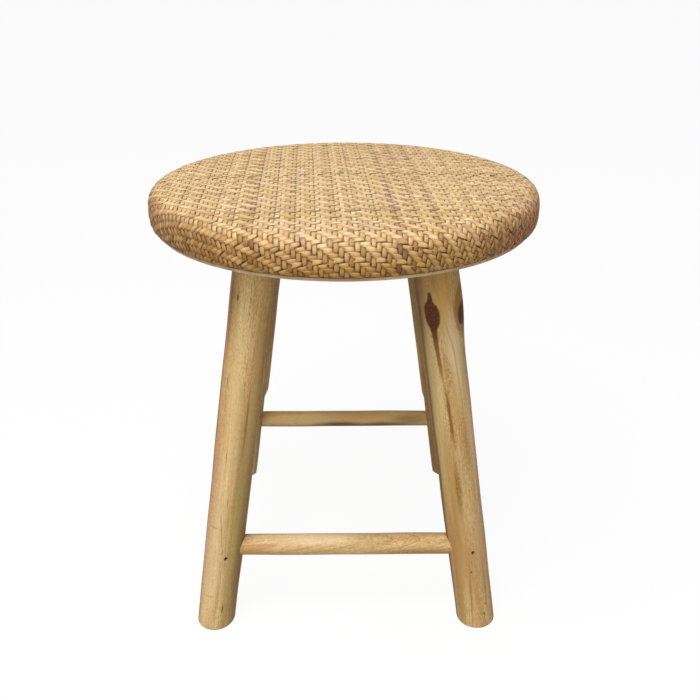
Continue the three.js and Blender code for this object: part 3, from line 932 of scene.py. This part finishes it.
def addKnot(wood, colour, skin, knot):
    # a teardrop: its half width follows a curve up the leg, and its middle leans a little
    parts = addNode(wood, "SeparateXYZ", {0: skin})
    low, high = knot["heights"]
    up = addNode(wood, "MapRange", {0: parts.outputs[1], 1: low, 2: high, 3: 0.0, 4: 1.0})
    width = addNode(wood, "FloatCurve", {"Value": up})
    curve = width.mapping.curves[0]
    curve.points[0].location = knot["widthShares"][0]
    curve.points[1].location = knot["widthShares"][-1]
    for spot in knot["widthShares"][1:-1]:
        curve.points.new(*spot)
    width.mapping.update()
    topDown = addNode(wood, "Math", {0: 1.0, 1: up}, operation="SUBTRACT")
    toEnd = addNode(wood, "Math", {0: up, 1: topDown}, operation="MINIMUM")
    within = addNode(wood, "MapRange", {0: toEnd, 1: 0.0, 2: 0.02, 3: 0.0, 4: 1.0})
    fade = addNode(wood, "MapRange", {0: up, 1: 0.0, 2: 0.15, 3: 0.5, 4: 0.95})
    shown = addNode(wood, "Math", {0: within, 1: fade}, operation="MULTIPLY")
    lowMiddle, highMiddle = knot["middles"]
    middle = addNode(wood, "MapRange", {0: up, 1: 0.0, 2: 0.62, 3: lowMiddle, 4: highMiddle})
    aside = addNode(wood, "Math", {0: parts.outputs[0], 1: middle}, operation="SUBTRACT")
    aside = addNode(wood, "Math", {0: aside}, operation="ABSOLUTE")
    deep = addNode(wood, "Math", {0: width, 1: knot["halfWidth"]}, operation="MULTIPLY")
    deep = addNode(wood, "Math", {0: deep, 1: aside}, operation="SUBTRACT")
    rim = addNode(wood, "MapRange", {0: deep, 1: -0.0008, 2: 0.0005, 3: 0.0, 4: 1.0})
    rim = addNode(wood, "Math", {0: rim, 1: shown}, operation="MULTIPLY")
    brown = addNode(wood, "ValToRGB", {0: up}, [
        (0.0, "#a5762f"), (0.2, "#96652b"), (0.45, "#7c4d25"), (0.65, "#5c3621")])
    colour = addNode(wood, "Mix", {0: rim, 6: colour, 7: brown}, data_type="RGBA")
    # the dark heart fills the wide part, and the tail below it stays a golden brown
    heart = addNode(wood, "MapRange", {0: deep, 1: 0.0004, 2: 0.0013, 3: 0.0, 4: 0.95})
    wide = addNode(wood, "MapRange", {0: up, 1: 0.42, 2: 0.6, 3: 0.0, 4: 1.0})
    heart = addNode(wood, "Math", {0: heart, 1: wide}, operation="MULTIPLY")
    # the heart is speckled by the ends of its fibres
    speckScale = addNode(wood, "Mapping", {"Vector": skin, "Scale": (1100, 700, 1)})
    specks = addNode(wood, "TexNoise", {"Vector": speckScale, "Scale": 1.0})
    dark = addNode(wood, "ValToRGB", {0: specks}, [
        (0.35, "#44200f"), (0.5, "#572c15"), (0.65, "#744a2a")])
    return addNode(wood, "Mix", {0: heart, 6: colour.outputs[2], 7: dark}, data_type="RGBA").outputs[2]


# each pattern's size across the grain and along it, and its detail
grainPatterns = {
    "bands": (0.011, 0.2, 2.0),
    "fibres": (0.0006, 0.014, 2.0),
    "streaks": (0.0024, 0.07, 3.0),
    "tooth": (0.0010, 0.0030, 1.0),
    "pinks": (0.014, 0.14, 1.0),
    "olives": (0.009, 0.11, 1.0),
    "pores": (0.00045, 0.006, 1.0),
}


def turnedWood(name, look, marks=(), knot=None):
    # plantation teak sapwood, turned and sanded, no lacquer: straw and honey bands along the
    # grain, growth rings 2 to 7 mm apart, pinkish and olive streaks, short dark pores, dull
    wood = newMaterial(name)
    grain = addNode(wood, "Attribute", attribute_name="grain").outputs["Vector"]
    turned = addNode(wood, "Mapping", {"Vector": grain, "Location": look["offset"],
                                       "Rotation": look.get("tilt", (0, 0, 0))})
    # the grain wanders a few millimetres from side to side along the stick
    bendScale = addNode(wood, "Mapping", {"Vector": turned, "Scale": (22, 22, 7)})
    bend = addNode(wood, "TexNoise", {"Vector": bendScale, "Scale": 1.0, "Detail": 1.0})
    bent = addNode(wood, "VectorMath", {0: bend.outputs["Color"], 1: (0.011, 0.011, 0), 2: turned},
                   operation="MULTIPLY_ADD")
    patterns = {}
    for pattern, (across, along, detail) in grainPatterns.items():
        drawnOut = addNode(wood, "Mapping", {
            "Vector": bent, "Scale": (1 / across, 1 / across, 1 / along)})
        patterns[pattern] = addNode(wood, "TexNoise", {
            "Vector": drawnOut, "Scale": 1.0, "Detail": detail})

    # growth rings about the pith, which lies outside the stick
    fromPith = addNode(wood, "Mapping", {"Vector": bent, "Scale": (1, 1, 0),
                                         "Location": look.get("pith", (0.02, -0.035, 0))})
    ringRadius = addNode(wood, "VectorMath", {0: fromPith}, operation="LENGTH").outputs["Value"]
    ringNumber = addNode(wood, "Math", {0: ringRadius, 1: look.get("ringsPerMetre", 420)},
                         operation="MULTIPLY")
    height = addNode(wood, "SeparateXYZ", {0: bent}).outputs[2]
    slow = addNode(wood, "Math", {0: height, 1: 3.0}, operation="MULTIPLY")
    ringPlace = addNode(wood, "CombineXYZ", {0: ringNumber, 1: slow})
    patterns["rings"] = addNode(wood, "TexNoise", {"Vector": ringPlace, "Scale": 1.0, "Detail": 2.0})
    patterns["lateWood"] = addNode(wood, "Math", {0: ringNumber}, operation="FRACT")

    weights = {"bands": 0.42, "rings": look.get("ringWeight", 0.24), "fibres": 0.34,
               "streaks": look.get("streakWeight", 0.3), "tooth": 0.42}
    tone = 0.5 + look.get("tone", 0.0) - sum(weights.values()) / 2
    for pattern, weight in weights.items():
        tone = addNode(wood, "Math", {0: patterns[pattern], 1: weight, 2: tone},
                       operation="MULTIPLY_ADD")
    colour = addNode(wood, "ValToRGB", {0: tone}, [
        (0.30, "#95703c"), (0.41, "#b28e55"), (0.50, "#c9a66d"), (0.59, "#d7b983"), (0.72, "#e4cb9d")])
    colour = colour.outputs[0]
    # tinges, each where its pattern is high: the late wood is a thin darker line in each ring
    for pattern, low, high, depth, tinge in (
            ("pinks", 0.47, 0.62, look["pink"], "#c8946a"),
            ("olives", 0.47, 0.62, look["olive"], "#a58e50"),
            ("lateWood", 0.72, 0.95, look.get("ringLine", 0.22), "#93693a"),
            ("pores", 0.62, 0.7, 0.6, "#6f4d2a")):
        share = addNode(wood, "MapRange", {0: patterns[pattern], 1: low, 2: high, 3: 0.0, 4: depth})
        colour = addNode(wood, "Mix", {0: share, 6: colour, 7: linearColour(tinge)},
                         data_type="RGBA").outputs[2]
    if marks or knot:
        skin = addNode(wood, "Attribute", attribute_name="skin").outputs["Vector"]
        roughScale = addNode(wood, "Mapping", {"Vector": skin, "Scale": (330, 120, 1)})
        rough = addNode(wood, "TexNoise", {"Vector": roughScale, "Scale": 1.0, "Detail": 3.0})
        shift = addNode(wood, "VectorMath", {0: rough.outputs["Color"], 1: (0.5, 0.5, 0.5)},
                        operation="SUBTRACT")
        ragged = addNode(wood, "VectorMath", {0: shift, 1: (0.002, 0.004, 0), 2: skin},
                         operation="MULTIPLY_ADD")
        for mark in marks:
            small = mark["halfHeight"] < 0.007
            colour = addMark(wood, colour, skin if small else ragged, mark)
        if knot:
            colour = addKnot(wood, colour, ragged, knot)
    bump = addNode(wood, "Bump", {"Strength": 0.35, "Distance": 0.0002, "Height": tone})
    shader = addNode(wood, "BsdfPrincipled", {
        "Base Color": colour, "Roughness": 0.62, "Specular IOR Level": 0.16, "Normal": bump})
    addNode(wood, "OutputMaterial", {"Surface": shader})
    return wood


def stain(arc, height, halfWidth, halfHeight, colour, depth=0.6, soft=0.7, lean=0.0, grit=False):
    return {"at": (arc, height), "halfWidth": halfWidth, "halfHeight": halfHeight,
            "colour": colour, "depth": depth, "soft": soft, "lean": lean, "grit": grit}


legLooks = {
    "front_left": {
        "look": {"offset": (0.31, 0.12, 0.4), "pink": 0.35, "olive": 0.45, "tone": 0.02},
        "marks": [
            # dark left edge, painted shade, with a reddish streak beside it at the top
            stain(-0.0285, 0.20, 0.0045, 0.30, "#735640", 0.7),
            stain(-0.0200, 0.345, 0.0040, 0.055, "#b0774a", 0.65),
            stain(-0.0205, 0.352, 0.0014, 0.040, "#7c5032", 0.6),
            stain(-0.0162, 0.300, 0.0030, 0.030, "#d6a480", 0.55),
            stain(-0.0185, 0.180, 0.0045, 0.080, "#cf9f74", 0.45),
            # paler down the middle, olive on the right
            stain(-0.0040, 0.250, 0.0080, 0.090, "#dabd88", 0.45, 0.8),
            stain(-0.0120, 0.090, 0.0090, 0.090, "#e2c199", 0.55, 0.8),
            stain(0.0130, 0.330, 0.0035, 0.060, "#b5934a", 0.5),
            stain(0.0160, 0.280, 0.0050, 0.060, "#c4a266", 0.5),
            stain(0.0160, 0.180, 0.0040, 0.080, "#b89a62", 0.45),
            stain(0.0110, 0.110, 0.0065, 0.110, "#a68f54", 0.65),
            stain(0.0230, 0.070, 0.0075, 0.100, "#7c6038", 0.75),
            stain(0.0100, 0.232, 0.0010, 0.034, "#7d5f34", 0.6, 0.5),
            # darker just under the seat: painted shadow of the seat
            stain(0.0000, 0.402, 0.0250, 0.012, "#8f6c3e", 0.5, 0.9),
            stain(-0.0200, 0.170, 0.0065, 0.170, "#a06c46", 0.6, 0.6, 0.0, True),
            stain(-0.0180, 0.350, 0.0030, 0.035, "#5f3c26", 0.6, 0.6, 0.0, True),
            # a hole left by a shoot, cracks and a tick
            stain(-0.0112, 0.360, 0.0007, 0.0028, "#2e1c10", 0.95, 0.3),
            stain(0.0041, 0.0865, 0.0016, 0.0021, "#3a2414", 0.9, 0.3),
            stain(-0.0111, 0.121, 0.0032, 0.0007, "#8b6238", 0.55, 0.6),
            stain(-0.0085, 0.041, 0.0055, 0.0006, "#8b6238", 0.45, 0.6),
            stain(-0.0030, 0.117, 0.0005, 0.0220, "#8a683c", 0.5, 0.5, -0.127),
            stain(0.0063, 0.026, 0.0007, 0.0045, "#6a4524", 0.8, 0.6),
            stain(0.0000, 0.150, 0.0005, 0.0060, "#7a5630", 0.5, 0.5),
            stain(-0.0060, 0.200, 0.0005, 0.0065, "#7a5630", 0.6, 0.5),
            stain(-0.0140, 0.278, 0.0006, 0.0060, "#7a4c2c", 0.6, 0.5),
        ],
        "knot": None,
    },
    "front_right": {
        "look": {"offset": (0.55, 0.71, 0.13), "pink": 0.35, "olive": 0.45, "tone": 0.02,
                 "pith": (-0.03, -0.03, 0)},
        "swells": [
            {"at": (1.25, 0.350), "reach": (0.8, 0.032), "size": 0.0028},
            {"at": (1.25, 0.400), "reach": (0.8, 0.03), "size": 0.0014},
        ],
        "bends": [
            {"at": (-0.0092, 0.345), "radius": 0.0080, "drawnOut": 3.0},
            {"at": (0.0265, 0.343), "radius": 0.0110, "drawnOut": 2.6},
        ],
        "marks": [
            # dark left edge, painted shade, widest under the seat, then a pale band, gold to the right
            # of it
            stain(-0.0275, 0.20, 0.0050, 0.30, "#6b4728", 0.75, 0.6),
            stain(-0.0220, 0.365, 0.0085, 0.050, "#6f4a26", 0.75, 0.5),
            stain(-0.0160, 0.255, 0.0060, 0.085, "#c9b07a", 0.65),
            stain(-0.0080, 0.385, 0.0140, 0.030, "#9a6f38", 0.6),
            stain(0.0060, 0.375, 0.0080, 0.032, "#b4853f", 0.6),
            stain(0.0015, 0.345, 0.0050, 0.022, "#cc9f50", 0.6),
            stain(0.0090, 0.305, 0.0090, 0.035, "#e4c99a", 0.75),
            stain(0.0050, 0.250, 0.0070, 0.035, "#c9a160", 0.55),
            stain(0.0190, 0.235, 0.0050, 0.050, "#e0b98e", 0.7),
            stain(-0.0060, 0.185, 0.0070, 0.040, "#ab8242", 0.6),
            stain(-0.0080, 0.110, 0.0120, 0.080, "#ac844c", 0.6),
            stain(0.0000, 0.075, 0.0080, 0.055, "#b88a54", 0.45),
            stain(-0.0160, 0.060, 0.0050, 0.060, "#9c7640", 0.5),
            stain(0.0170, 0.130, 0.0070, 0.120, "#b5805c", 0.45, 0.6, 0.0, True),
            # painted shade down the right edge
            stain(0.0290, 0.20, 0.0030, 0.25, "#8d7050", 0.5),
            # the knot cut across at the right edge, in its halo
            stain(0.0262, 0.344, 0.0142, 0.027, "#96652e", 0.8, 0.12),
            stain(0.0262, 0.341, 0.0098, 0.0135, "#4c2412", 0.97, 0.12),
            stain(0.0240, 0.325, 0.0085, 0.008, "#c9a783", 0.75, 0.4, 0.0, True),
            # thin dark lines where the grain closes again, and dots along them
            stain(0.0000, 0.290, 0.0035, 0.016, "#9a6b2e", 0.75, 0.6, -0.1, True),
            stain(-0.0032, 0.241, 0.0016, 0.028, "#7f531e", 0.9, 0.6, -0.045),
            stain(-0.0022, 0.236, 0.0040, 0.032, "#94662a", 0.6, 0.7, -0.045, True),
            stain(0.0085, 0.218, 0.0045, 0.030, "#94662a", 0.6, 0.7, -0.06, True),
            stain(0.0052, 0.322, 0.0007, 0.020, "#9a7440", 0.4, 0.5, -0.20),
            stain(0.0090, 0.290, 0.0007, 0.026, "#a07a48", 0.4, 0.5, -0.05),
            stain(-0.0034, 0.160, 0.0030, 0.024, "#8a6420", 0.5, 0.8),
            stain(-0.0030, 0.168, 0.0028, 0.022, "#7c561c", 0.85, 0.7, 0.0, True),
            stain(0.0140, 0.060, 0.0011, 0.030, "#8f5f30", 0.6, 0.6),
            stain(0.0000, 0.088, 0.0060, 0.010, "#9a6a3c", 0.5, 0.7, 0.0, True),
            stain(-0.0090, 0.120, 0.0022, 0.050, "#a58348", 0.5, 0.8),
            stain(-0.0030, 0.040, 0.0009, 0.040, "#94683a", 0.6, 0.7, 0.05),
            stain(0.0130, 0.100, 0.0070, 0.060, "#c9a077", 0.5, 0.8),
            stain(0.0037, 0.0913, 0.0014, 0.0014, "#3a2414", 0.9, 0.3),
            stain(0.0000, 0.069, 0.0009, 0.0012, "#5c3a20", 0.9, 0.4),
            stain(0.0091, 0.0174, 0.0012, 0.0014, "#5c3a20", 0.8, 0.4),
            stain(0.0121, 0.0288, 0.0012, 0.0014, "#7c4a2a", 0.7, 0.4),
        ],
        "knot": {
            "heights": (0.280, 0.365),
            "middles": (-0.0062, -0.0093),
            "halfWidth": 0.0076,
            "widthShares": [(0.0, 0.1), (0.1, 0.2), (0.28, 0.25), (0.41, 0.28), (0.53, 0.37),
                            (0.58, 0.5), (0.63, 0.74), (0.69, 0.95), (0.77, 1.0), (0.83, 0.84),
                            (0.87, 0.52), (0.92, 0.3), (0.97, 0.2), (1.0, 0.08)],
        },
    },
    "rear_left": {
        "look": {"offset": (0.17, 0.43, 0.77), "pink": 0.35, "olive": 0.6, "tone": 0.01},
        # painted shade from the seat over the upper leg
        "marks": [stain(0.0, 0.33, 0.08, 0.10, "#94672c", 0.3)],
        "knot": None,
    },
    "rear_right": {
        "look": {"offset": (0.83, 0.27, 0.05), "pink": 0.5, "olive": 0.4, "tone": -0.03},
        # painted shade from the seat over the upper leg
        "marks": [stain(0.0, 0.32, 0.08, 0.11, "#744a20", 0.5)],
        "knot": None,
    },
}
stretcherLooks = {
    "front": {
        "look": {"offset": (0.2, 0.5, 0.3), "tilt": (0.2, 0, 0), "pink": 0.35, "olive": 0.2,
                 "tone": 0.04, "pith": (-0.19, -0.53, 0), "ringsPerMetre": 150,
                 "ringWeight": 0.3, "streakWeight": 0.1, "ringLine": 0.35},
        "marks": [
            # pinkish at the left, a painted highlight along the top, brown and gritty low on the
            # right, and painted shade along the upper and lower edges
            stain(0.0080, -0.108, 0.0150, 0.0160, "#a97c54", 0.45),
            stain(-0.0010, -0.095, 0.0050, 0.0180, "#b98540", 0.5),
            stain(0.0135, -0.028, 0.0070, 0.0450, "#ecd8b0", 0.5),
            stain(-0.0020, 0.078, 0.0055, 0.0450, "#9a6c38", 0.7, 0.6, 0.0, True),
            stain(-0.0040, 0.085, 0.0050, 0.0500, "#aa7c48", 0.5),
            stain(-0.0095, 0.000, 0.0022, 0.2000, "#7d5c34", 0.6),
            stain(0.0230, 0.000, 0.0020, 0.2000, "#94744a", 0.5),
        ],
    },
    "rear": {
        "look": {"offset": (0.6, 0.1, 0.2), "tilt": (0.06, 0, 0), "pink": 0.4, "olive": 0.4,
                 "tone": 0.25},
        "marks": [
            # warmer all over, with painted shade along the upper and lower edges and dark stains low
            # in the middle
            stain(0.0000, 0.000, 0.0800, 0.4000, "#ecc078", 0.5),
            stain(0.0200, 0.000, 0.0016, 0.2000, "#7a6238", 0.5),
            stain(-0.0092, 0.000, 0.0018, 0.2000, "#7a6238", 0.5),
            stain(-0.0035, -0.005, 0.0040, 0.0280, "#59411f", 0.8),
            stain(-0.0035, 0.050, 0.0040, 0.0240, "#664829", 0.75),
            stain(-0.0060, 0.030, 0.0030, 0.0900, "#7b5f38", 0.5),
            stain(0.0030, 0.085, 0.0060, 0.0200, "#7d5c34", 0.5),
        ],
    },
    "left": {
        "look": {"offset": (0.4, 0.8, 0.7), "tilt": (-0.1, 0, 0), "pink": 0.4, "olive": 0.5},
        "marks": [],
    },
    "right": {
        "look": {"offset": (0.9, 0.3, 0.6), "tilt": (0.12, 0, 0), "pink": 0.5, "olive": 0.4},
        "marks": [],
    },
}


def makeFrame():
    random = np.random.default_rng(leg["seed"])
    blank = legBlank()
    shapes = {name: legShape(blank, corner, legLooks[name].get("swells", ()), random)
              for name, corner in corners.items()}
    bpy.data.objects.remove(blank)
    for name, stretcher in stretchers.items():
        looks = stretcherLooks[name]
        wood = turnedWood("turned teak sapwood, " + name + " stretcher", looks["look"], looks["marks"])
        makeStretcher(name, stretcher, shapes, random, wood)
    print("stretchers made")
    for name, corner in corners.items():
        looks = legLooks[name]
        wood = turnedWood("turned teak sapwood, " + name.replace("_", " ") + " leg",
                          looks["look"], looks["marks"], looks["knot"])
        makeLeg(name, corner, shapes[name], wood)
    print("legs made")


makeFrame()


# The closing board, a thin plywood disc under the seat, and the pieces that are carried over

closingBoard = {
    "inset": 0.0066,
    "edgeRound": 0.0005,
    "sides": 128,
    "plies": 3,
    "screwHead": (0.0034, 0.002),
    "screwHole": 0.002,
}


def makeClosingBoard(material):
    thickness = boardHigh.z - boardLow.z
    bpy.ops.object.select_all(action="DESELECT")
    bpy.ops.mesh.primitive_cylinder_add(
        vertices=closingBoard["sides"], radius=seatRadius - closingBoard["inset"], depth=thickness,
        location=(0, 0, boardLow.z + thickness / 2))
    board = bpy.context.object
    bpy.ops.object.transform_apply(location=True)
    rims = np.array(edgesAt(board.data, boardLow.z)) | np.array(edgesAt(board.data, boardHigh.z))
    pick(board, "edges", rims)
    startEdit(board, "EDGE")
    bpy.ops.mesh.bevel(offset=closingBoard["edgeRound"], segments=2)
    endEdit()
    for corner in corners.values():
        bpy.ops.object.select_all(action="DESELECT")
        bpy.ops.mesh.primitive_cylinder_add(
            vertices=48, radius=leg["tenonRadius"] + clearance, depth=4 * thickness)
        hole = bpy.context.object
        setPoints(hole.data, leaned(points(hole.data) + (0, 0, boardLow.z), corner))
        cutWith(board, hole)
    headRadius, headDepth = closingBoard["screwHead"]
    headDepth += clearance
    for name in nodes:
        if not name.startswith("board_screw"):
            continue
        low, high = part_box(name)
        spot = (low + high) / 2
        bpy.ops.object.select_all(action="DESELECT")
        bpy.ops.mesh.primitive_cone_add(
            vertices=24, radius1=headRadius + clearance, radius2=closingBoard["screwHole"],
            depth=headDepth, location=(spot.x, spot.y, boardLow.z + headDepth / 2 - 1e-5))
        cutWith(board, bpy.context.object)
        bpy.ops.object.select_all(action="DESELECT")
        bpy.ops.mesh.primitive_cylinder_add(
            vertices=24, radius=closingBoard["screwHole"], depth=4 * thickness,
            location=(spot.x, spot.y, boardLow.z))
        cutWith(board, bpy.context.object)
    smooth(board, 40)
    finishPiece(board, "closing_disc", "closing_board", material)


def birchPly():
    # 3 mm birch plywood, sanded and bare: fine straight grain on the face, and at the edge two
    # pale plies with a darker one between them
    birch = newMaterial("bare birch plywood")
    place = addNode(birch, "TexCoord").outputs["Object"]
    faceScale = addNode(birch, "Mapping", {"Vector": place, "Scale": (6, 260, 30)})
    face = addNode(birch, "TexNoise", {"Vector": faceScale, "Scale": 1.0, "Detail": 3.0})
    colour = addNode(birch, "ValToRGB", {0: face}, [
        (0.3, "#b8946c"), (0.5, "#cbaa80"), (0.7, "#d8bc95")])
    height = addNode(birch, "SeparateXYZ", {0: place}).outputs[2]
    depth = addNode(birch, "Math", {0: height, 1: underside}, operation="SUBTRACT")
    ply = (boardHigh.z - boardLow.z) / closingBoard["plies"]
    layer = addNode(birch, "Math", {0: depth, 1: ply}, operation="PINGPONG")
    dark = addNode(birch, "MapRange", {0: layer, 1: 0.0, 2: 0.0009, 3: 0.25, 4: 0.0})
    colour = addNode(birch, "Mix", {0: dark, 6: colour, 7: linearColour("#7c5a3e")}, data_type="RGBA")
    bump = addNode(birch, "Bump", {"Strength": 0.2, "Distance": 0.0002, "Height": face})
    shader = addNode(birch, "BsdfPrincipled", {
        "Base Color": colour.outputs[2], "Roughness": 0.7, "Normal": bump})
    addNode(birch, "OutputMaterial", {"Surface": shader})
    return birch


def wireSteel():
    # drawn and cut steel wire, a little oxidised: grey-brown and dull
    metal = newMaterial("oxidised steel wire and screws")
    place = addNode(metal, "TexCoord").outputs["Object"]
    rust = addNode(metal, "TexNoise", {"Vector": place, "Scale": 700.0, "Detail": 2.0})
    colour = addNode(metal, "ValToRGB", {0: rust}, [
        (0.35, "#33241a"), (0.5, "#4f3d30"), (0.7, "#7b6f63")])
    shader = addNode(metal, "BsdfPrincipled", {
        "Base Color": colour, "Roughness": 0.6, "Metallic": 0.6})
    addNode(metal, "OutputMaterial", {"Surface": shader})
    return metal


def wedgeWood():
    # a split hardwood wedge: darker and plainer than the leg
    split = newMaterial("split hardwood wedge")
    place = addNode(split, "TexCoord").outputs["Object"]
    drawnOut = addNode(split, "Mapping", {"Vector": place, "Scale": (900, 900, 60)})
    lines = addNode(split, "TexNoise", {"Vector": drawnOut, "Scale": 1.0, "Detail": 3.0})
    colour = addNode(split, "ValToRGB", {0: lines}, [(0.3, "#6a4626"), (0.7, "#946a3e")])
    shader = addNode(split, "BsdfPrincipled", {"Base Color": colour, "Roughness": 0.65})
    addNode(split, "OutputMaterial", {"Surface": shader})
    return split


def carryOver(start, material):
    for name, node in nodes.items():
        if name.startswith(start):
            node.data.materials.clear()
            node.data.materials.append(material)


ply = birchPly()
steel = wireSteel()
makeClosingBoard(ply)
for start, material in (("seat_board", ply), ("leg_wedge", wedgeWood()), ("stretcher_pin", steel),
                        ("hem_tack", steel), ("board_screw", steel)):
    carryOver(start, material)
print("boards and fasteners finished")
